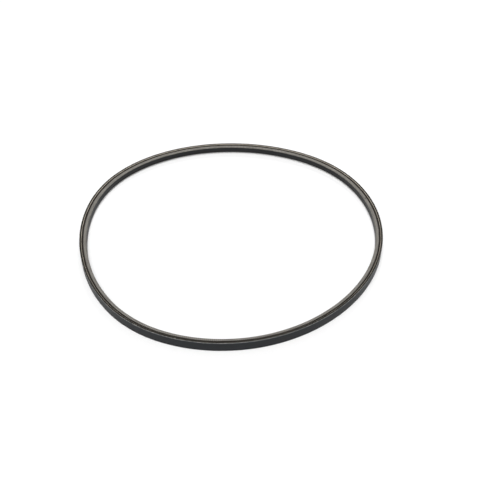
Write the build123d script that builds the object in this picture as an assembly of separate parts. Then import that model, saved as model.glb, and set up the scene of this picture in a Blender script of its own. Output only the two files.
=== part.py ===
from build123d import *

import math
import os

# A V belt of the A section: an endless loop with raw cut flanks, built up in layers round a drum and
# cut from the sleeve. It lies on its side. All sizes are in millimetres.
#
# Frame: +Z is square to the loop's plane. The origin is in the middle of the loop, on the plane that
# the belt lies on.

# The belt's driving sizes
PITCH_LENGTH = 1270.0           # round the middle of the cord: a nominal 50 inch belt
TOP_WIDTH = 12.5                # across the back
THICKNESS = 9.0                 # from the back to the narrow inner face
FLANK_ANGLE = 20.0              # each flank leans in by this much: the V is 40 degrees
EDGE_BEVEL = 0.25               # the buffed edges of the back and of the inner face

# The layers' thicknesses, from the back inwards
FABRIC_PLY = 0.7
ADHESION_GUM = 0.75             # each side of the cords' middle plane
CUSHION = 2.2
BOTTOM_PLY = 0.6

# The tension cord: wound side by side, and cut through at both flanks
CORD_DIAMETER = 1.1
CORD_TURNS = 9

# The loop lies almost round. Its radius of curvature swings about the mean in lobes. Each row says how
# many lobes there are, how far they swing as a share of the mean, and where one is at its flattest.
LOOP_ARCS = 24
LOBES = [
    (2, 0.059, -2.6),
    (3, 0.136, 80.8),
    (4, 0.105, 6.9),
    (5, 0.038, -22.2),
    (6, 0.061, 13.8),
]

# The splices, where the two ends of a wrapped layer meet: a hairline slot across the layer
SPLICE_GAP = 0.12
FLANK_SPLICE_LEAN = 33.0        # a rubber layer's splice leans off square, as seen on the flank
BIAS_SPLICE_LEAN = 45.0         # a fabric ply's splice runs across the belt on the bias

# Depths below the back, and the rest that follows from the sizes above
INNER_PLY_DEPTH = FABRIC_PLY
GUM_DEPTH = 2 * FABRIC_PLY
CORD_DEPTH = GUM_DEPTH + ADHESION_GUM
CUSHION_DEPTH = CORD_DEPTH + ADHESION_GUM
COMPRESSION_DEPTH = CUSHION_DEPTH + CUSHION
BOTTOM_PLY_DEPTH = THICKNESS - BOTTOM_PLY
PARALLEL_DEPTH = CUSHION_DEPTH  # the flanks are square to the back down to here, and lean from here on

CORD_PITCH = TOP_WIDTH / (CORD_TURNS - 1)
MEAN_RADIUS = PITCH_LENGTH / (2 * math.pi) + CORD_DEPTH - THICKNESS / 2
TURN = 360 / LOOP_ARCS


def direction(degrees):
    """The unit vector in the loop's plane that points this way from +X."""
    return Vector(1, 0, 0).rotate(Axis.Z, degrees)


def middle_radius(degrees):
    """The radius at mid-thickness of the arc that faces this way."""
    share = 1.0
    for count, swing, flattest in LOBES:
        share += swing * math.cos(math.radians(count * (degrees - flattest)))
    return MEAN_RADIUS * share


def loop_arcs():
    """The loop as tangent arcs of equal turn: each one's centre, mid-thickness radius and facing.

    Two or more lobes come back to where they began after a full turn, so the loop closes.
    """
    facings = [step * TURN for step in range(LOOP_ARCS)]
    radii = [middle_radius(facing) for facing in facings]
    centres = [Vector(0, 0, 0)]
    for step in range(1, LOOP_ARCS):
        joint = direction(facings[step] - TURN / 2)
        centres.append(centres[-1] + joint * (radii[step - 1] - radii[step]))
    right, back, left, front = [step * LOOP_ARCS // 4 for step in range(4)]
    middle_x = (centres[right].X + radii[right] + centres[left].X - radii[left]) / 2
    middle_y = (centres[back].Y + radii[back] + centres[front].Y - radii[front]) / 2
    middle = Vector(middle_x, middle_y, 0)
    return [(centre - middle, radius, facing) for centre, radius, facing in zip(centres, radii, facings)]


LOOP = loop_arcs()


def half_width(depth):
    """Half the belt's width at this depth below its back."""
    lean_in = max(0, depth - PARALLEL_DEPTH) * math.tan(math.radians(FLANK_ANGLE))
    return TOP_WIDTH / 2 - lean_in


def section_point(depth, height):
    """A point of the belt's section, with X outwards from mid-thickness and Y up from the floor."""
    return (THICKNESS / 2 - depth, TOP_WIDTH / 2 + height)


def band(top, bottom):
    """The section of the belt between two depths."""
    corners = [
        section_point(top, half_width(top)),
        section_point(bottom, half_width(bottom)),
        section_point(bottom, -half_width(bottom)),
        section_point(top, -half_width(top)),
    ]
    return Polygon(*corners, align=None)


def buffed_edges(section, depth):
    """The same section with its two corners at this depth bevelled."""
    edge_x = section_point(depth, 0)[0]
    corners = [corner for corner in section.vertices() if abs(corner.X - edge_x) < EDGE_BEVEL]
    return chamfer(corners, EDGE_BEVEL)


def cord_section(height):
    """One turn of the cord, with whatever stands out past a flank cut away."""
    whole = Pos(*section_point(CORD_DEPTH, height)) * Circle(CORD_DIAMETER / 2)
    return whole & band(GUM_DEPTH, CUSHION_DEPTH)


def cord_heights():
    """The heights of the cord's turns from the belt's middle, from the lower flank to the upper."""
    return [step * CORD_PITCH - TOP_WIDTH / 2 for step in range(CORD_TURNS)]


def grooved_band(top, bottom):
    """A band of gum with the half-round grooves that the cord lies in."""
    section = band(top, bottom)
    for height in cord_heights():
        section -= cord_section(height)
    return section


def ring(section):
    """The closed ring of a section: it turns about each arc's centre in turn."""
    lengths = []
    for centre, radius, facing in LOOP:
        outwards = direction(facing - TURN / 2)
        start = Plane(origin=centre, x_dir=outwards, z_dir=outwards.cross(Vector(0, 0, 1)))
        placed = start * (Pos(radius, 0) * section)
        lengths.append(revolve(placed, Axis(centre, (0, 0, 1)), TURN))
    return Part() + lengths


def splice_slot(facing, flank_lean=0.0, bias_lean=0.0):
    """The hairline slot across the belt where the loop faces this way."""
    centre, radius, _ = LOOP[round(facing / TURN) % LOOP_ARCS]
    place = Pos(*(centre + direction(facing) * radius)) * Rot(0, 0, facing)
    lean = Rot(bias_lean, 0, 0) * Rot(0, 0, flank_lean)
    reach = 4 * TOP_WIDTH
    blade = Pos(0, 0, TOP_WIDTH / 2) * lean * Box(2 * THICKNESS, SPLICE_GAP, reach)
    return place * blade


def outer_fabric_ply():
    section = buffed_edges(band(0, INNER_PLY_DEPTH), 0)
    return ring(section) - splice_slot(65, bias_lean=BIAS_SPLICE_LEAN)


def inner_fabric_ply():
    return ring(band(INNER_PLY_DEPTH, GUM_DEPTH)) - splice_slot(128, bias_lean=-BIAS_SPLICE_LEAN)


def upper_adhesion_gum():
    return ring(grooved_band(GUM_DEPTH, CORD_DEPTH)) - splice_slot(172, flank_lean=FLANK_SPLICE_LEAN)


def lower_adhesion_gum():
    return ring(grooved_band(CORD_DEPTH, CUSHION_DEPTH)) - splice_slot(232, flank_lean=FLANK_SPLICE_LEAN)


def cushion_rubber():
    return ring(band(CUSHION_DEPTH, COMPRESSION_DEPTH)) - splice_slot(304, flank_lean=FLANK_SPLICE_LEAN)


def compression_rubber():
    return ring(band(COMPRESSION_DEPTH, BOTTOM_PLY_DEPTH)) - splice_slot(16, flank_lean=FLANK_SPLICE_LEAN)


def bottom_fabric_ply():
    section = buffed_edges(band(BOTTOM_PLY_DEPTH, THICKNESS), THICKNESS)
    return ring(section) - splice_slot(147, bias_lean=BIAS_SPLICE_LEAN)


def write_node(name, shape):
    """Writes one piece to its own file."""
    export_step(shape, os.path.join("parts", name + ".step"))


def main():
    os.makedirs("parts", exist_ok=True)
    write_node("outer_fabric_ply", outer_fabric_ply())
    write_node("inner_fabric_ply", inner_fabric_ply())
    write_node("upper_adhesion_gum", upper_adhesion_gum())
    for number, height in enumerate(cord_heights(), start=1):
        write_node(f"tension_cord_turn_{number}", ring(cord_section(height)))
    write_node("lower_adhesion_gum", lower_adhesion_gum())
    write_node("cushion_rubber", cushion_rubber())
    write_node("compression_rubber", compression_rubber())
    write_node("bottom_fabric_ply", bottom_fabric_ply())


if __name__ == "__main__":
    main()
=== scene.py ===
import math

import bpy
import numpy as np
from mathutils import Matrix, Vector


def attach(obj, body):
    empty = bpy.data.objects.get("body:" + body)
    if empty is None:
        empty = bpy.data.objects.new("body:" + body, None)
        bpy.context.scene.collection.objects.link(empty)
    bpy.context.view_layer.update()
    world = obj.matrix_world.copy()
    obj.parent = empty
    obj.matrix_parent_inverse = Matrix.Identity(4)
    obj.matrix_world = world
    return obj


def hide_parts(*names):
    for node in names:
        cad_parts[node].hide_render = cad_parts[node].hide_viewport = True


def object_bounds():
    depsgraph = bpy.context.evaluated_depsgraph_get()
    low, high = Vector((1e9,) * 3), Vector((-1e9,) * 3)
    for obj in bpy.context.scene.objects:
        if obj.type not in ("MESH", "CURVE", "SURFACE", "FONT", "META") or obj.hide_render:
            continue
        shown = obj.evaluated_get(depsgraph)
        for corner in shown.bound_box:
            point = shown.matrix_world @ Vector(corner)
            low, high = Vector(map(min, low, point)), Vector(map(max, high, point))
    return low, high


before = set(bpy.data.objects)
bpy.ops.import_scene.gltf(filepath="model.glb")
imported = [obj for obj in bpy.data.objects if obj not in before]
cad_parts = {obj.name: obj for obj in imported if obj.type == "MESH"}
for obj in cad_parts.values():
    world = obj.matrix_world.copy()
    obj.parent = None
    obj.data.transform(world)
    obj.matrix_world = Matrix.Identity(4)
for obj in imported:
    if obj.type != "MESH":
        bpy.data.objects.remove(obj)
cad_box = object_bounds()

# ---------------------------------------------------------------------------------------------
# The belt's sizes, in millimetres, as the CAD model has them
# ---------------------------------------------------------------------------------------------
MM = 0.001                      # millimetres to the scene's metres
TOP_WIDTH = (cad_box[1].z - cad_box[0].z) / MM
PITCH_LENGTH = 1270.0           # round the middle of the cord
THICKNESS = 9.0
FLANK_LEAN = math.tan(math.radians(20.0))
EDGE_BEVEL = 0.25

FABRIC_PLY = 0.7
ADHESION_GUM = 0.75
CUSHION = 2.2
BOTTOM_PLY = 0.6
CORD_RADIUS = 0.55
CORD_TURNS = 9

# Depths below the belt's back
INNER_PLY_DEPTH = FABRIC_PLY
GUM_DEPTH = 2 * FABRIC_PLY
CORD_DEPTH = GUM_DEPTH + ADHESION_GUM
CORD_TOP = CORD_DEPTH - CORD_RADIUS
CORD_BOTTOM = CORD_DEPTH + CORD_RADIUS
CUSHION_DEPTH = CORD_DEPTH + ADHESION_GUM
COMPRESSION_DEPTH = CUSHION_DEPTH + CUSHION
BOTTOM_PLY_DEPTH = THICKNESS - BOTTOM_PLY
CORD_PITCH = TOP_WIDTH / (CORD_TURNS - 1)

# The loop's lobes: how many, how far they swing as a share of the mean, and where one is flattest
LOOP_ARCS = 24
LOBES = [
    (2, 0.059, -2.6),
    (3, 0.136, 80.8),
    (4, 0.105, 6.9),
    (5, 0.038, -22.2),
    (6, 0.061, 13.8),
]
MEAN_RADIUS = PITCH_LENGTH / (2 * math.pi) + CORD_DEPTH - THICKNESS / 2
LOOP_LENGTH = 2 * math.pi * MEAN_RADIUS
ARC_TURN = 2 * math.pi / LOOP_ARCS

# Each layer's splice: which way the loop faces there, and its lean on the flank and across the belt
SPLICE_GAP = 0.12
FLANK_SPLICE_LEAN = 33.0
BIAS_SPLICE_LEAN = 45.0
SPLICES = {
    "outer_fabric_ply": (65, 0.0, BIAS_SPLICE_LEAN),
    "inner_fabric_ply": (128, 0.0, -BIAS_SPLICE_LEAN),
    "upper_adhesion_gum": (172, FLANK_SPLICE_LEAN, 0.0),
    "lower_adhesion_gum": (232, FLANK_SPLICE_LEAN, 0.0),
    "cushion_rubber": (304, FLANK_SPLICE_LEAN, 0.0),
    "compression_rubber": (16, FLANK_SPLICE_LEAN, 0.0),
    "bottom_fabric_ply": (147, 0.0, BIAS_SPLICE_LEAN),
}


# ---------------------------------------------------------------------------------------------
# The loop's middle line: tangent arcs of equal turn
# ---------------------------------------------------------------------------------------------
def loop_arcs():
    """Each arc's centre, radius and facing, with the loop's box centred on the origin."""
    facing = np.arange(LOOP_ARCS) * ARC_TURN
    share = np.ones(LOOP_ARCS)
    for count, swing, flattest in LOBES:
        share += swing * np.cos(count * (facing - math.radians(flattest)))
    radius = MEAN_RADIUS * share
    joint = facing[1:] - ARC_TURN / 2
    shift = radius[:-1] - radius[1:]
    centre_x = np.concatenate([[0.0], np.cumsum(shift * np.cos(joint))])
    centre_y = np.concatenate([[0.0], np.cumsum(shift * np.sin(joint))])
    right, back, left, front = [step * LOOP_ARCS // 4 for step in range(4)]
    centre_x -= (centre_x[right] + radius[right] + centre_x[left] - radius[left]) / 2
    centre_y -= (centre_y[back] + radius[back] + centre_y[front] - radius[front]) / 2
    return centre_x, centre_y, radius, facing


CENTRE_X, CENTRE_Y, ARC_RADIUS, ARC_FACING = loop_arcs()
ARC_END = np.cumsum(ARC_RADIUS * ARC_TURN)


def along_at(degrees):
    """How far along the middle line the loop faces this way, in millimetres."""
    turned = math.radians(degrees) + ARC_TURN / 2
    arc = int(turned // ARC_TURN) % LOOP_ARCS
    return ARC_END[arc] + (turned % ARC_TURN - ARC_TURN) * ARC_RADIUS[arc]


def belt_to_scene(along, depth, height):
    """Points given by their place in the belt, as scene coordinates.

    along is the distance along the middle line, depth is below the belt's back, and height is
    from the belt's middle plane, all in millimetres.
    """
    along = along % LOOP_LENGTH
    arc = np.minimum(np.searchsorted(ARC_END, along, side="right"), LOOP_ARCS - 1)
    past_start = along - (ARC_END[arc] - ARC_RADIUS[arc] * ARC_TURN)
    facing = ARC_FACING[arc] - ARC_TURN / 2 + past_start / ARC_RADIUS[arc]
    reach = ARC_RADIUS[arc] + THICKNESS / 2 - depth
    x = CENTRE_X[arc] + reach * np.cos(facing)
    y = CENTRE_Y[arc] + reach * np.sin(facing)
    return np.stack([x, y, TOP_WIDTH / 2 + height], axis=-1) * MM


# ---------------------------------------------------------------------------------------------
# Sections of the layers: closed outlines in depth and height
# ---------------------------------------------------------------------------------------------
BACK, FLANK, INSIDE = 0, 1, 2   # which way a stretch of outline faces, and its material's place

# How many pieces make up a stretch of outline
CLOTH_ACROSS = 20               # the back, fine enough for its weave
INNER_FACE_ACROSS = 16
HIDDEN_ACROSS = 2
BEVEL_PIECES = 2
QUARTER_PIECES = 3              # a quarter of a cord turn
HALF_PIECES = 6
CUT_CORD_PIECES = 8             # the half-round side of a turn that the knife went through
ROUND_CORD_PIECES = 15

# Along the cord and the cushion the flank is worn into a shallow groove
GROOVE_DEPTHS = [CORD_TOP, CORD_DEPTH, CORD_BOTTOM, COMPRESSION_DEPTH, COMPRESSION_DEPTH + 1.0]
GROOVE_WEAR = [0.0, 0.1, 0.85, 0.5, 0.0]


def half_width(depth):
    """Half the belt's width at this depth below its back."""
    return TOP_WIDTH / 2 - np.maximum(0.0, depth - CUSHION_DEPTH) * FLANK_LEAN


def worn_half_width(depth):
    """Half the belt's width at this depth, less what is worn away."""
    return half_width(depth) - np.interp(depth, GROOVE_DEPTHS, GROOVE_WEAR)


class Outline:
    """A closed section: its points, and which way the stretch from each of them faces."""

    def __init__(self):
        self.depth, self.height, self.facing = [], [], []

    def stretch(self, start, end, pieces, facing):
        """Points from start up to, but not including, end."""
        for step in range(pieces):
            share = step / pieces
            self.depth.append(start[0] + (end[0] - start[0]) * share)
            self.height.append(start[1] + (end[1] - start[1]) * share)
            self.facing.append(facing)

    def arc(self, height, first, last, pieces, facing, turning=1, to_the_end=False):
        """Points of an arc round a cord turn, from the angle first to last, which may be left out.

        Angles are in degrees, from 0 on the cord's side towards the back through 90 on its high side.
        With a turning of -1, 0 is on its side away from the back.
        """
        for step in range(pieces + to_the_end):
            angle = math.radians(first + (last - first) * step / pieces)
            self.depth.append(CORD_DEPTH - turning * CORD_RADIUS * math.cos(angle))
            self.height.append(height + CORD_RADIUS * math.sin(angle))
            self.facing.append(facing)

    def arrays(self):
        """The points' depths and heights, worn down at the flanks, and the facings."""
        depth = np.array(self.depth)
        limit = worn_half_width(depth)
        return depth, np.clip(self.height, -limit, limit), np.array(self.facing)


def band(top, bottom, across, down, top_bevel=0.0, bottom_bevel=0.0):
    """The outline of a layer between two depths, its corners bevelled where that is asked for.

    across has the number of pieces across the top and across the bottom.
    """
    outline = Outline()
    wide, narrow = half_width(top), half_width(bottom)
    top_edge, bottom_edge = (top, wide - top_bevel), (bottom, narrow - bottom_bevel)
    top_side, bottom_side = (top + top_bevel, wide), (bottom - bottom_bevel, narrow)
    lower = [(depth, -height) for depth, height in (top_edge, top_side, bottom_side, bottom_edge)]
    outline.stretch(lower[0], top_edge, across[0], BACK)
    if top_bevel:
        outline.stretch(top_edge, top_side, BEVEL_PIECES, FLANK)
    outline.stretch(top_side, bottom_side, down, FLANK)
    if bottom_bevel:
        outline.stretch(bottom_side, bottom_edge, BEVEL_PIECES, FLANK)
    outline.stretch(bottom_edge, lower[3], across[1], INSIDE)
    if bottom_bevel:
        outline.stretch(lower[3], lower[2], BEVEL_PIECES, FLANK)
    outline.stretch(lower[2], lower[1], down, FLANK)
    if top_bevel:
        outline.stretch(lower[1], lower[0], BEVEL_PIECES, FLANK)
    return outline


def cord_heights():
    """The heights of the cord's turns from the belt's middle, from the lower flank to the upper."""
    return [step * CORD_PITCH - TOP_WIDTH / 2 for step in range(CORD_TURNS)]


def upper_gum_outline():
    """Gum from the plies down to the cord's middle, with a groove for each turn of the cord."""
    outline = Outline()
    wide = TOP_WIDTH / 2
    outline.stretch((GUM_DEPTH, -wide), (GUM_DEPTH, wide), HIDDEN_ACROSS, BACK)
    outline.stretch((GUM_DEPTH, wide), (CORD_TOP, wide), 1, FLANK)
    outline.arc(wide, 360, 270, QUARTER_PIECES, INSIDE, to_the_end=True)
    for height in cord_heights()[-2:0:-1]:
        outline.arc(height, 90, -90, HALF_PIECES, INSIDE, to_the_end=True)
    outline.arc(-wide, 90, 0, QUARTER_PIECES, INSIDE)
    outline.stretch((CORD_TOP, -wide), (GUM_DEPTH, -wide), 1, FLANK)
    return outline


def lower_gum_outline():
    """Gum from the cord's middle down to the cushion, with the same grooves."""
    outline = Outline()
    wide = TOP_WIDTH / 2
    outline.arc(-wide, 0, 90, QUARTER_PIECES, BACK, turning=-1, to_the_end=True)
    for height in cord_heights()[1:-1]:
        outline.arc(height, -90, 90, HALF_PIECES, BACK, turning=-1, to_the_end=True)
    outline.arc(wide, 270, 360, QUARTER_PIECES, BACK, turning=-1)
    outline.stretch((CORD_BOTTOM, wide), (CUSHION_DEPTH, wide), 1, FLANK)
    outline.stretch((CUSHION_DEPTH, wide), (CUSHION_DEPTH, -wide), HIDDEN_ACROSS, INSIDE)
    outline.stretch((CUSHION_DEPTH, -wide), (CORD_BOTTOM, -wide), 1, FLANK)
    return outline


def cord_outline(turn):
    """One turn of the cord: round, or cut flat where the knife went through it at a flank."""
    outline = Outline()
    height = cord_heights()[turn]
    near, far = (CORD_TOP, height), (CORD_BOTTOM, height)
    if turn == 0:
        outline.stretch(far, near, HALF_PIECES, FLANK)
        outline.arc(height, 0, 180, CUT_CORD_PIECES, INSIDE)
    elif turn == CORD_TURNS - 1:
        outline.stretch(near, far, HALF_PIECES, FLANK)
        outline.arc(height, 180, 360, CUT_CORD_PIECES, INSIDE)
    else:
        outline.arc(height, 0, 360, ROUND_CORD_PIECES, FLANK)
    return outline


# ---------------------------------------------------------------------------------------------
# Wrapping a section round the loop
# ---------------------------------------------------------------------------------------------
WANDER_SWING = 1.5              # brings most of a wandering line to within -1 and 1

LAYER_STRAY = 0.10              # how far the layers' boundaries stray inside the belt
STRAY_LENGTH, STRAY_SEED = 60.0, 11
SHARP_CORNER = 55.0             # degrees: bevels look rounded, and square corners stay sharp


def wander(along, longest, seed):
    """A smooth, seeded, irregular line, mostly between -1 and 1, that closes round the loop.

    longest is the length of its slowest swing, in millimetres.
    """
    draws = np.random.default_rng(seed)
    slowest = round(LOOP_LENGTH / longest)
    harmonics = range(slowest, slowest * 3, max(1, slowest // 4))
    total = 0.0
    for cycles in harmonics:
        late = draws.uniform(0, 2 * math.pi)
        total = total + np.sin(2 * math.pi * cycles * along / LOOP_LENGTH + late)
    return total / math.sqrt(len(harmonics)) / WANDER_SWING


def outward_normals(depth, height):
    """Each outline point's outward direction, in depth and height."""
    step_depth = np.roll(depth, -1) - np.roll(depth, 1)
    step_height = np.roll(height, -1) - np.roll(height, 1)
    length = np.hypot(step_depth, step_height)
    return -step_height / length, step_depth / length


def grid_quads(rows, columns, closed):
    """Quads that join rows of points, where each row is a closed section."""
    row = np.arange(rows if closed else rows - 1)[:, None]
    column = np.arange(columns)[None, :]
    next_row = (row + 1) % rows
    next_column = (column + 1) % columns
    corners = [
        row * columns + column,
        row * columns + next_column,
        next_row * columns + next_column,
        next_row * columns + column,
    ]
    return np.stack(corners, axis=-1).reshape(-1, 4)


def build_mesh(name, along, depth, height, facing, closed):
    """A mesh from the belt places of a grid of points. Its face corners keep those places."""
    rows, columns = along.shape
    stray = LAYER_STRAY * wander(along, STRAY_LENGTH, STRAY_SEED) * np.sin(math.pi * depth / THICKNESS)
    points = belt_to_scene(along, depth + stray, height).reshape(-1, 3)
    quads = grid_quads(rows, columns, closed)
    places = np.stack([along, depth, height], axis=-1).reshape(-1, 3)
    corner_places = places[quads]
    if closed:
        corner_places[-columns:, 2:, 0] += LOOP_LENGTH
    corner_places = corner_places.reshape(-1, 3)
    polygons = quads.tolist()
    if not closed:
        first_cap = np.arange(columns)[::-1]
        last_cap = np.arange((rows - 1) * columns, rows * columns)
        polygons += [first_cap.tolist(), last_cap.tolist()]
        corner_places = np.concatenate([corner_places, places[first_cap], places[last_cap]])
    mesh = bpy.data.meshes.new(name)
    mesh.from_pydata(points.tolist(), [], polygons)
    attribute = mesh.attributes.new("belt_place", "FLOAT_VECTOR", "CORNER")
    attribute.data.foreach_set("vector", corner_places.astype(np.float32).ravel())
    slots = np.tile(facing, rows if closed else rows - 1)
    slots = np.concatenate([slots, [FLANK] * (len(polygons) - len(slots))])
    mesh.polygons.foreach_set("material_index", slots.astype(np.int32))
    mesh.polygons.foreach_set("use_smooth", np.ones(len(polygons), dtype=bool))
    mesh.update()
    mesh.set_sharp_from_angle(angle=math.radians(SHARP_CORNER))
    piece = bpy.data.objects.new(name, mesh)
    bpy.context.scene.collection.objects.link(piece)
    return piece


def splice_line(splice):
    """Where a splice crosses the middle line, and how far it runs on per millimetre of depth, height."""
    degrees, flank_lean, bias_lean = splice
    return along_at(degrees), -math.tan(math.radians(flank_lean)), -math.tan(math.radians(bias_lean))


def wrap(name, outline, step, splice=None, relief=None):
    """A layer wrapped round the loop, open at its splice, with its surface sunk by relief.

    relief takes places along, in depth and in height, and gives how far below the plain surface
    each point lies, in millimetres.
    """
    depth, height, facing = outline.arrays()
    rows = int(round(LOOP_LENGTH / step))
    closed = splice is None
    if closed:
        along = np.arange(rows)[:, None] * (LOOP_LENGTH / rows) + 0 * depth[None, :]
    else:
        start, per_depth, per_height = splice_line(splice)
        lean = (depth - THICKNESS / 2) * per_depth + height * per_height
        open_length = np.linspace(SPLICE_GAP / 2, LOOP_LENGTH - SPLICE_GAP / 2, rows)
        along = start + open_length[:, None] + lean[None, :]
    depth = np.broadcast_to(depth, along.shape).copy()
    height = np.broadcast_to(height, along.shape).copy()
    if relief is not None:
        out_depth, out_height = outward_normals(depth[0], height[0])
        sunk = relief(along, depth, height)
        depth -= sunk * out_depth
        height -= sunk * out_height
    return build_mesh(name, along, depth, height, facing, closed)


# ---------------------------------------------------------------------------------------------
# Surface relief, in millimetres
# ---------------------------------------------------------------------------------------------
FLANK_SKIN = 0.05               # how near the flank's surface a point has to be to count as on it

YARN_PITCH = 1.4                # between the cloth's yarns; they lie on the bias
WEAVE_RELIEF = 0.045
PLY_EDGE_ROUND = 0.07
YARN_END_RELIEF = 0.10
YARN_END_DRIFT, YARN_DRIFT_LENGTH = 0.35, 40.0

UNEVEN_SHARE, UNEVEN_LENGTH = 0.35, 5.0     # how unevenly the grinder sinks a soft layer
UNEVEN_SLANT = 2.0
GUM_SUNK = 0.08
CUSHION_SUNK = 0.10

CHATTER_PITCH = LOOP_LENGTH / round(LOOP_LENGTH / 2.3)      # marks that the flank grinder leaves
CHATTER_RELIEF = 0.16
CHATTER_LEAN = 0.15             # how far a mark runs on along the belt per millimetre of depth
CHATTER_UNEVEN, CHATTER_PATCH, CHATTER_SEED = 0.4, 25.0, 4

STRAND_PITCH = LOOP_LENGTH / round(LOOP_LENGTH / 2.1)       # along the cord, from strand to strand
STRAND_RELIEF = 0.16
STRANDS = 3


def on_flank(depth, height):
    """1 on the flank and 0 inside the belt."""
    return np.clip(1 + (np.abs(height) - worn_half_width(depth)) / FLANK_SKIN, 0, 1)


def bias_weave(along, across):
    """How far a plain weave on the bias lies below its crests, from 0 to 1."""
    warp = (along + across) / math.sqrt(2)
    weft = (along - across) / math.sqrt(2)
    return 0.5 - 0.5 * np.sin(math.pi * warp / YARN_PITCH) * np.sin(math.pi * weft / YARN_PITCH)


def yarn_ends(along, seed):
    """How far the cut yarn ends at a ply's edge lie below their crests, from 0 to 1."""
    drift = YARN_END_DRIFT * wander(along, YARN_DRIFT_LENGTH, seed)
    return 1 - np.abs(np.cos(math.pi * (along / (YARN_PITCH * math.sqrt(2)) + drift)))


def cloth_relief(top, bottom, seed):
    """Relief for a ply: weave on its broad faces, and rounded, yarn-ended cut edges."""

    def relief(along, depth, height):
        from_middle = (2 * depth - top - bottom) / (bottom - top)
        edge = PLY_EDGE_ROUND * from_middle**2 + YARN_END_RELIEF * yarn_ends(along, seed)
        return np.where(on_flank(depth, height) > 0, edge, WEAVE_RELIEF * bias_weave(along, height))

    return relief


def plain_relief(sunk, seed):
    """Relief for a soft layer's flank, which the grinder leaves a little below its neighbours."""

    def relief(along, depth, height):
        uneven = 1 + UNEVEN_SHARE * wander(along + UNEVEN_SLANT * depth, UNEVEN_LENGTH, seed)
        return on_flank(depth, height) * sunk * np.clip(uneven, 0, 2)

    return relief


def chatter(along, depth):
    """The grinder's marks across the flank, from 0 on their crests to 1 in their bottoms."""
    place = (along + CHATTER_LEAN * depth) / CHATTER_PITCH
    return 0.5 - 0.5 * np.cos(2 * math.pi * place)


def ground_relief(along, depth, height):
    """Relief for the ground flank of the compression rubber."""
    strength = np.clip(1 + CHATTER_UNEVEN * wander(along, CHATTER_PATCH, CHATTER_SEED), 0, 2)
    return on_flank(depth, height) * CHATTER_RELIEF * chatter(along, depth) * strength


def bottom_cloth_relief(along, depth, height):
    """Relief for the bottom ply: weave on the inner face, and the grinder's marks on its edges."""
    flank = ground_relief(along, depth, height)
    return np.where(on_flank(depth, height) > 0, flank, WEAVE_RELIEF * bias_weave(along, height))


def strand_relief(turn):
    """Relief for one turn of the twisted cord: grooves between its strands."""
    middle = cord_heights()[turn]

    def relief(along, depth, height):
        if turn in (0, CORD_TURNS - 1):
            lay = (depth - CORD_DEPTH) / (2 * CORD_RADIUS)
        else:
            lay = STRANDS * np.arctan2(height - middle, CORD_DEPTH - depth) / (2 * math.pi)
        return STRAND_RELIEF * (1 - np.abs(np.cos(math.pi * (along / STRAND_PITCH - lay)))) ** 2

    return relief


# ---------------------------------------------------------------------------------------------
# Materials
# ---------------------------------------------------------------------------------------------
SEAM_CORE = 0.3                 # this share of a seam's reach is darkest all through


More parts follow.
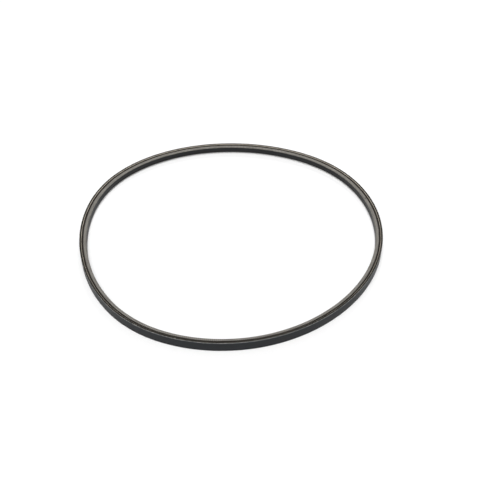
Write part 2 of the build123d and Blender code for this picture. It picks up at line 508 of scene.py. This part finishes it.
class Nodes:
    """A short way to build a material's node tree. Sizes are in millimetres on the belt."""

    def __init__(self, name):
        self.material = bpy.data.materials.new(name)
        self.material.use_nodes = True
        self.tree = self.material.node_tree
        self.shader = self.tree.nodes["Principled BSDF"]

    def add(self, kind, **settings):
        node = self.tree.nodes.new(kind)
        for key, value in settings.items():
            setattr(node, key, value)
        return node

    def link(self, source, target):
        self.tree.links.new(source, target)

    def put(self, value, socket):
        """Sets a socket to a number, or links a socket to it."""
        if isinstance(value, (int, float)):
            socket.default_value = value
        else:
            self.link(value, socket)

    def math(self, operation, *values):
        node = self.add("ShaderNodeMath", operation=operation)
        for value, socket in zip(values, node.inputs):
            self.put(value, socket)
        return node.outputs[0]

    def place(self):
        """The surface point's place in the belt: along, depth, height."""
        return self.add("ShaderNodeAttribute", attribute_name="belt_place").outputs["Vector"]

    def sum_of(self, along, depth, height):
        """The place's three parts, times these, added up."""
        node = self.add("ShaderNodeVectorMath", operation="DOT_PRODUCT")
        self.link(self.place(), node.inputs[0])
        node.inputs[1].default_value = (along, depth, height)
        return node.outputs["Value"]

    def from_high_edge(self):
        """How far the point is from the back's high edge, measured over the surface."""
        return self.math("ADD", self.sum_of(0, 1, -1), TOP_WIDTH / 2)

    def spread(self, sizes):
        """The place in the belt divided by these sizes."""
        mapping = self.add("ShaderNodeMapping")
        mapping.inputs["Scale"].default_value = [1 / size for size in sizes]
        self.link(self.place(), mapping.inputs["Vector"])
        return mapping.outputs["Vector"]

    def grain(self, sizes, detail=3.0):
        """Noise whose blotches have these sizes along, in depth and in height."""
        node = self.add("ShaderNodeTexNoise")
        node.inputs["Scale"].default_value = 1.0
        node.inputs["Detail"].default_value = detail
        node.inputs["Roughness"].default_value = 0.6
        self.link(self.spread(sizes), node.inputs["Vector"])
        return node.outputs["Fac"]

    def cells(self, sizes):
        """Cells of these sizes: how far each point is from its cell's middle, and a number per cell."""
        node = self.add("ShaderNodeTexVoronoi")
        node.inputs["Scale"].default_value = 1.0
        self.link(self.spread(sizes), node.inputs["Vector"])
        return node.outputs["Distance"], node.outputs["Color"]

    def between(self, factor, low, high, start=0.0, end=1.0):
        """low where the factor is at start or before, turning smoothly into high at end."""
        node = self.add("ShaderNodeMapRange", interpolation_type="SMOOTHSTEP")
        node.inputs["From Min"].default_value = start
        node.inputs["From Max"].default_value = end
        node.inputs["To Min"].default_value = low
        node.inputs["To Max"].default_value = high
        self.link(factor, node.inputs["Value"])
        return node.outputs["Result"]

    def blend(self, factor, first, second, start=0.3, end=0.7):
        """A colour that turns from the first into the second as the factor goes from start to end."""
        node = self.add("ShaderNodeValToRGB")
        for element, place, colour in zip(node.color_ramp.elements, (start, end), (first, second)):
            element.position = place
            element.color = (*colour, 1.0)
        self.link(factor, node.inputs["Fac"])
        return node.outputs["Color"]

    def paint(self, colour, *tones):
        """The base colour, made lighter or darker by each tone in turn."""
        for tone in tones:
            node = self.add("ShaderNodeVectorMath", operation="SCALE")
            self.link(colour, node.inputs[0])
            self.link(tone, node.inputs["Scale"])
            colour = node.outputs["Vector"]
        self.link(colour, self.shader.inputs["Base Color"])

    def rough(self, factor, low, high):
        self.link(self.between(factor, low, high), self.shader.inputs["Roughness"])

    def shine(self, level):
        self.shader.inputs["Specular IOR Level"].default_value = level

    def bump(self, heights):
        """Bumps the surface by the sum of these heights, each a factor and its millimetres."""
        total = None
        for factor, millimetres in heights:
            raised = self.math("MULTIPLY", factor, millimetres)
            total = raised if total is None else self.math("ADD", total, raised)
        node = self.add("ShaderNodeBump")
        node.inputs["Strength"].default_value = 1.0
        node.inputs["Distance"].default_value = MM
        self.link(total, node.inputs["Height"])
        self.link(node.outputs["Normal"], self.shader.inputs["Normal"])

    def weave(self):
        """The cloth's yarn crests, from 0 between the yarns to 1 on them."""
        turns = math.pi / YARN_PITCH / math.sqrt(2)
        warp = self.math("SINE", self.sum_of(turns, 0, turns))
        weft = self.math("SINE", self.sum_of(turns, 0, -turns))
        return self.math("MULTIPLY_ADD", self.math("MULTIPLY", warp, weft), 0.5, 0.5)

    def seam(self, splice, reach, darkest):
        """A tone that darkens the layer within reach of its splice."""
        start, per_depth, per_height = splice_line(splice)
        along = self.sum_of(1, -per_depth, -per_height)
        past = self.math("ADD", along, per_depth * THICKNESS / 2 - start)
        off = self.math("PINGPONG", past, LOOP_LENGTH / 2)
        nearness = self.between(off, 1.0, 0.0, start=SEAM_CORE * reach, end=reach)
        return self.between(nearness, 1.0, darkest)

    def waves(self, pitch, lean):
        """A wave along the belt, from 0 to 1, that runs on by lean for each millimetre of depth."""
        turns = 2 * math.pi / pitch
        wave = self.math("COSINE", self.sum_of(turns, lean * turns, 0))
        return self.math("MULTIPLY_ADD", wave, 0.5, 0.5)


# Sizes in the materials are of the blotches of a noise, or of a cell, along, in depth and in height.
# A tone multiplies the base colour, and a painted highlight makes a place that many times lighter.
PATCHY = {"start": 0.3, "end": 0.7}     # the range that most of a noise's values lie in
EDGE_HIGHLIGHT_REACH = 1.8                      # how far down the back the painted highlight on its high edge reaches


def broad_cloth(name, dark, light, splice, edge_highlight=1.0):
    """Rubberised cloth seen on its broad face: weave, mottling, worn streaks, a painted highlight along
    its high edge and a dark splice.

    The last argument is how many times lighter the painted highlight along the high edge is.
    """
    nodes = Nodes(name)
    weave = nodes.weave()
    grain = nodes.grain((0.35, 0.35, 0.35))
    patches = nodes.grain((30.0, 4.0, 8.0), detail=2.0)
    streaks = nodes.grain((14.0, 0.5, 0.5))
    tones = [
        nodes.between(weave, 0.78, 1.12),
        nodes.between(patches, 0.75, 1.2, **PATCHY),
        # painted highlight: the back is painted lighter towards its high edge
        nodes.between(nodes.from_high_edge(), edge_highlight, 1.0, end=EDGE_HIGHLIGHT_REACH),
        nodes.between(streaks, 0.85, 1.2, start=0.35, end=0.75),
        nodes.seam(splice, reach=0.8, darkest=0.35),
    ]
    nodes.paint(nodes.blend(grain, dark, light), *tones)
    nodes.rough(patches, 0.4, 0.6)
    nodes.shine(0.22)
    nodes.bump([(weave, 0.03), (grain, 0.02), (streaks, 0.02)])
    return nodes.material


def cut_cloth(name, rubber, yarn, splice, edge_highlight=1.0):
    """The cut edge of a ply: yarn ends of uneven colour set in rubber, with a dark line round them.

    The last argument is how many times lighter the high flank is painted where it meets the belt's back:
    a painted highlight.
    """
    nodes = Nodes(name)
    off_middle, own = nodes.cells((0.9, 0.42, 0.42))
    grain = nodes.grain((0.25, 0.12, 0.12))
    patches = nodes.grain((18.0, 3.0, 3.0), detail=2.0)
    ends = nodes.between(off_middle, 1.0, 0.0, start=0.25, end=0.7)
    yarn_share = nodes.math("MULTIPLY", ends, nodes.between(own, 0.55, 1.0))
    tones = [
        nodes.between(grain, 0.7, 1.3, start=0.25, end=0.75),
        nodes.between(patches, 0.8, 1.2, **PATCHY),
        # painted highlight: lighter at the top of the high flank, next to the back
        nodes.between(nodes.from_high_edge(), edge_highlight, 1.0, start=EDGE_BEVEL, end=2 * EDGE_BEVEL),
        nodes.seam(splice, reach=0.6, darkest=0.4),
    ]
    nodes.paint(nodes.blend(yarn_share, rubber, yarn, start=0.1, end=0.9), *tones)
    nodes.rough(grain, 0.75, 0.95)
    nodes.shine(0.10)
    nodes.bump([(ends, 0.06), (grain, 0.03)])
    return nodes.material


def cut_gum(name, splice):
    """Smooth gum with the fine drag lines of the knife along it."""
    nodes = Nodes(name)
    drag = nodes.grain((6.0, 0.12, 0.12))
    grain = nodes.grain((0.3, 0.3, 0.3))
    colour = nodes.blend(grain, (0.014, 0.012, 0.010), (0.026, 0.022, 0.018))
    nodes.paint(colour, nodes.seam(splice, reach=0.5, darkest=0.5))
    nodes.rough(drag, 0.5, 0.75)
    nodes.shine(0.12)
    nodes.bump([(drag, 0.02), (grain, 0.015)])
    return nodes.material


def cord_yarn(name, dark, light):
    """Treated polyester: filaments that lie with the strands, stained by gum on the back's side."""
    nodes = Nodes(name)
    strands = nodes.waves(STRAND_PITCH, -STRAND_PITCH / (2 * CORD_RADIUS))
    filaments = nodes.grain((0.5, 0.08, 0.08), detail=2.0)
    patches = nodes.grain((11.0, 2.0, 2.0), detail=2.0)
    depth = nodes.sum_of(0, 1, 0)
    stained, clean = CORD_DEPTH - 0.05, CORD_BOTTOM - 0.15
    tones = [
        nodes.between(strands, 0.45, 1.0, end=0.5),
        nodes.between(patches, 0.75, 1.1, **PATCHY),
        nodes.between(depth, 0.15, 3.0, start=stained, end=clean),
    ]
    nodes.paint(nodes.blend(filaments, dark, light), *tones)
    nodes.rough(filaments, 0.6, 0.85)
    nodes.shine(0.12)
    nodes.bump([(filaments, 0.04)])
    return nodes.material


def ground_rubber(name, dark, light, splice, seam_reach, fleck, marks):
    """Ground fibre-filled rubber: mottled, with cut fibre ends, painted shade in the grinder's marks and
    a dark splice.

    fleck is how much lighter a fibre's end is, and marks is the swing of the painted shade and highlight
    that follow the grinder's marks.
    """
    nodes = Nodes(name)
    grain = nodes.grain((0.7, 0.35, 0.35), detail=5.0)
    patches = nodes.grain((16.0, 2.5, 2.5), detail=2.0)
    off_middle, own = nodes.cells((0.45, 0.3, 0.3))
    near_middle = nodes.between(off_middle, 1.0, 0.0, start=0.1, end=0.4)
    fibres = nodes.math("MULTIPLY", near_middle, nodes.between(own, 0.0, 1.0, start=0.5, end=0.8))
    # painted shade and highlight: lighter on the crests of the grinder's marks and darker in their
    # bottoms, in step with their relief; broad patches of noise set how strong it is
    crests = nodes.math("SUBTRACT", nodes.waves(CHATTER_PITCH, CHATTER_LEAN), 0.5)
    worn = nodes.grain((45.0, 8.0, 8.0), detail=2.0)
    strength = nodes.between(worn, 0.5 * marks, 1.5 * marks, start=0.35, end=0.65)
    tones = [
        nodes.between(fibres, 1.0, fleck),
        nodes.between(patches, 0.85, 1.15, **PATCHY),
        nodes.math("MULTIPLY_ADD", crests, strength, 1.0),
        nodes.seam(splice, seam_reach, darkest=0.3),
    ]
    nodes.paint(nodes.blend(grain, dark, light, start=0.25, end=0.75), *tones)
    nodes.rough(grain, 0.75, 0.95)
    nodes.shine(0.10)
    nodes.bump([(grain, 0.05), (fibres, 0.04)])
    return nodes.material


def dress(piece, node, slot, *materials):
    """The piece stands for a CAD node, and has these materials: back, flank and inside."""
    for material in materials:
        piece.data.materials.append(material)
    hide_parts(node)
    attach(piece, "root")


# ---------------------------------------------------------------------------------------------
# The layers
# ---------------------------------------------------------------------------------------------
FINE_STEP = 0.41                # along the belt, for layers whose surface shows
PLAIN_STEP = 1.0                # for what lies inside


def outer_fabric_ply():
    splice = SPLICES["outer_fabric_ply"]
    across = (CLOTH_ACROSS, HIDDEN_ACROSS)
    outline = band(0.0, INNER_PLY_DEPTH, across, down=3, top_bevel=EDGE_BEVEL)
    relief = cloth_relief(0, INNER_PLY_DEPTH, seed=1)
    piece = wrap("outer_fabric_ply_cloth", outline, FINE_STEP, splice, relief)
    # the last numbers, 4.8 and 5.2, paint a highlight along the high edge of the back and of its cut
    # edge
    back = broad_cloth("back_cloth", (0.006, 0.0075, 0.009), (0.013, 0.015, 0.0175), splice, 4.8)
    edge = cut_cloth("back_cloth_edge", (0.018, 0.018, 0.017), (0.09, 0.087, 0.081), splice, 5.2)
    dress(piece, "outer_fabric_ply", "cover_fabric", back, edge, cut_gum("back_cloth_rubber", splice))


def inner_fabric_ply():
    splice = SPLICES["inner_fabric_ply"]
    outline = band(INNER_PLY_DEPTH, GUM_DEPTH, (HIDDEN_ACROSS, HIDDEN_ACROSS), down=4)
    relief = cloth_relief(INNER_PLY_DEPTH, GUM_DEPTH, seed=2)
    piece = wrap("inner_fabric_ply_cloth", outline, FINE_STEP, splice, relief)
    edge = cut_cloth("inner_ply_edge", (0.015, 0.0136, 0.0115), (0.076, 0.067, 0.056), splice)
    rubber = cut_gum("inner_ply_rubber", splice)
    dress(piece, "inner_fabric_ply", "inner_cover_fabric", rubber, edge, rubber)


def adhesion_gum():
    for side, outline in (("upper", upper_gum_outline()), ("lower", lower_gum_outline())):
        splice = SPLICES[f"{side}_adhesion_gum"]
        relief = plain_relief(GUM_SUNK, seed=6)
        piece = wrap(f"{side}_adhesion_gum_layer", outline, PLAIN_STEP, splice, relief)
        gum = cut_gum(f"{side}_gum", splice)
        dress(piece, f"{side}_adhesion_gum", "adhesion_gum", gum, gum, gum)


def tension_cord():
    yarn = cord_yarn("cord_yarn", (0.14, 0.125, 0.104), (0.30, 0.274, 0.232))
    for turn in range(CORD_TURNS):
        node = f"tension_cord_turn_{turn + 1}"
        cut = turn in (0, CORD_TURNS - 1)
        step = FINE_STEP if cut else PLAIN_STEP
        piece = wrap(f"{node}_strands", cord_outline(turn), step, relief=strand_relief(turn))
        dress(piece, node, "polyester_cord", yarn, yarn, yarn)


def cushion_rubber():
    splice = SPLICES["cushion_rubber"]
    outline = band(CUSHION_DEPTH, COMPRESSION_DEPTH, (HIDDEN_ACROSS, HIDDEN_ACROSS), down=6)
    relief = plain_relief(CUSHION_SUNK, seed=3)
    piece = wrap("cushion_rubber_ground", outline, FINE_STEP, splice, relief)
    dark, light = (0.014, 0.012, 0.010), (0.030, 0.026, 0.022)
    ground = ground_rubber("cushion_ground", dark, light, splice, 0.7, fleck=1.8, marks=0.0)
    dress(piece, "cushion_rubber", "cushion_rubber", ground, ground, ground)


def compression_rubber():
    splice = SPLICES["compression_rubber"]
    outline = band(COMPRESSION_DEPTH, BOTTOM_PLY_DEPTH, (HIDDEN_ACROSS, HIDDEN_ACROSS), down=8)
    piece = wrap("compression_rubber_ground", outline, FINE_STEP, splice, ground_relief)
    dark, light = (0.111, 0.105, 0.095), (0.230, 0.218, 0.197)
    # marks=0.8 paints shade into the bottoms of the grinder's marks and light onto their crests
    ground = ground_rubber("compression_ground", dark, light, splice, 0.9, fleck=1.35, marks=0.8)
    dress(piece, "compression_rubber", "compression_rubber", ground, ground, ground)


def bottom_fabric_ply():
    splice = SPLICES["bottom_fabric_ply"]
    across = (HIDDEN_ACROSS, INNER_FACE_ACROSS)
    outline = band(BOTTOM_PLY_DEPTH, THICKNESS, across, down=2, bottom_bevel=EDGE_BEVEL)
    piece = wrap("bottom_fabric_ply_cloth", outline, FINE_STEP, splice, bottom_cloth_relief)
    rubber = cut_gum("bottom_ply_rubber", splice)
    edge = cut_cloth("bottom_ply_edge", (0.11, 0.105, 0.096), (0.28, 0.267, 0.244), splice)
    dark, light = (0.007, 0.0074, 0.0078), (0.013, 0.0137, 0.0144)
    inner_face = broad_cloth("inner_face_cloth", dark, light, splice)
    dress(piece, "bottom_fabric_ply", "bottom_fabric", rubber, edge, inner_face)


# ---------------------------------------------------------------------------------------------
# Floor, light and camera, in metres
# ---------------------------------------------------------------------------------------------
FLOOR_REACH = 30.0              # from the middle to each edge
FLOOR_WHITE = 0.66
FLOOR_GLOW = 0.21
ROOM_LIGHT = 0.3

CAMERA_ELEVATION = 40.15        # degrees
CAMERA_DISTANCE = 0.9400
CAMERA_AIM = (0.0248, -0.0327, 0.0)
CAMERA_LENS = 52.27             # millimetres
CAMERA_SENSOR = 36.0


def make_floor():
    mesh = bpy.data.meshes.new("floor")
    corners = [(-1, -1), (1, -1), (1, 1), (-1, 1)]
    mesh.from_pydata([(FLOOR_REACH * x, FLOOR_REACH * y, 0) for x, y in corners], [], [(0, 1, 2, 3)])
    floor = bpy.data.objects.new("floor", mesh)
    bpy.context.scene.collection.objects.link(floor)
    paper = Nodes("floor_paper")
    paper.shader.inputs["Base Color"].default_value = (FLOOR_WHITE, FLOOR_WHITE, FLOOR_WHITE, 1)
    paper.shader.inputs["Emission Color"].default_value = (1, 1, 1, 1)
    paper.shader.inputs["Emission Strength"].default_value = FLOOR_GLOW
    paper.shader.inputs["Roughness"].default_value = 1.0
    paper.shine(0.0)
    mesh.materials.append(paper.material)


def softbox(name, place, width, length, watts):
    """An oval soft light that points at the middle of the belt."""
    lamp = bpy.data.lights.new(name, "AREA")
    lamp.shape = "ELLIPSE"
    lamp.size = width
    lamp.size_y = length
    lamp.energy = watts
    light = bpy.data.objects.new(name, lamp)
    light.location = place
    light.rotation_euler = light.location.to_track_quat("Z", "Y").to_euler()
    bpy.context.scene.collection.objects.link(light)


def make_light():
    world = bpy.data.worlds.new("studio")
    bpy.context.scene.world = world
    world.use_nodes = True
    room = world.node_tree.nodes["Background"]
    room.inputs["Color"].default_value = (1, 1, 1, 1)
    room.inputs["Strength"].default_value = ROOM_LIGHT
    softbox("overhead_softbox", (0.0, -1.8, 4.8), width=1.6, length=7.2, watts=280.0)
    softbox("front_softbox", (-2.4, -4.8, 4.4), width=3.2, length=3.2, watts=72.0)
    softbox("rear_softbox", (0.4, 4.8, 3.6), width=1.2, length=2.0, watts=96.0)


def make_camera():
    camera = bpy.data.objects.new("camera", bpy.data.cameras.new("camera"))
    bpy.context.scene.collection.objects.link(camera)
    elevation = math.radians(CAMERA_ELEVATION)
    camera.location = (
        CAMERA_AIM[0],
        CAMERA_AIM[1] - CAMERA_DISTANCE * math.cos(elevation),
        CAMERA_AIM[2] + CAMERA_DISTANCE * math.sin(elevation),
    )
    camera.rotation_euler = (math.pi / 2 - elevation, 0, 0)
    camera.data.sensor_width = CAMERA_SENSOR
    camera.data.lens = CAMERA_LENS
    bpy.context.scene.camera = camera
    bpy.context.scene.view_settings.view_transform = "Standard"


make_floor()
make_light()
make_camera()
outer_fabric_ply()
inner_fabric_ply()
adhesion_gum()
tension_cord()
cushion_rubber()
compression_rubber()
bottom_fabric_ply()
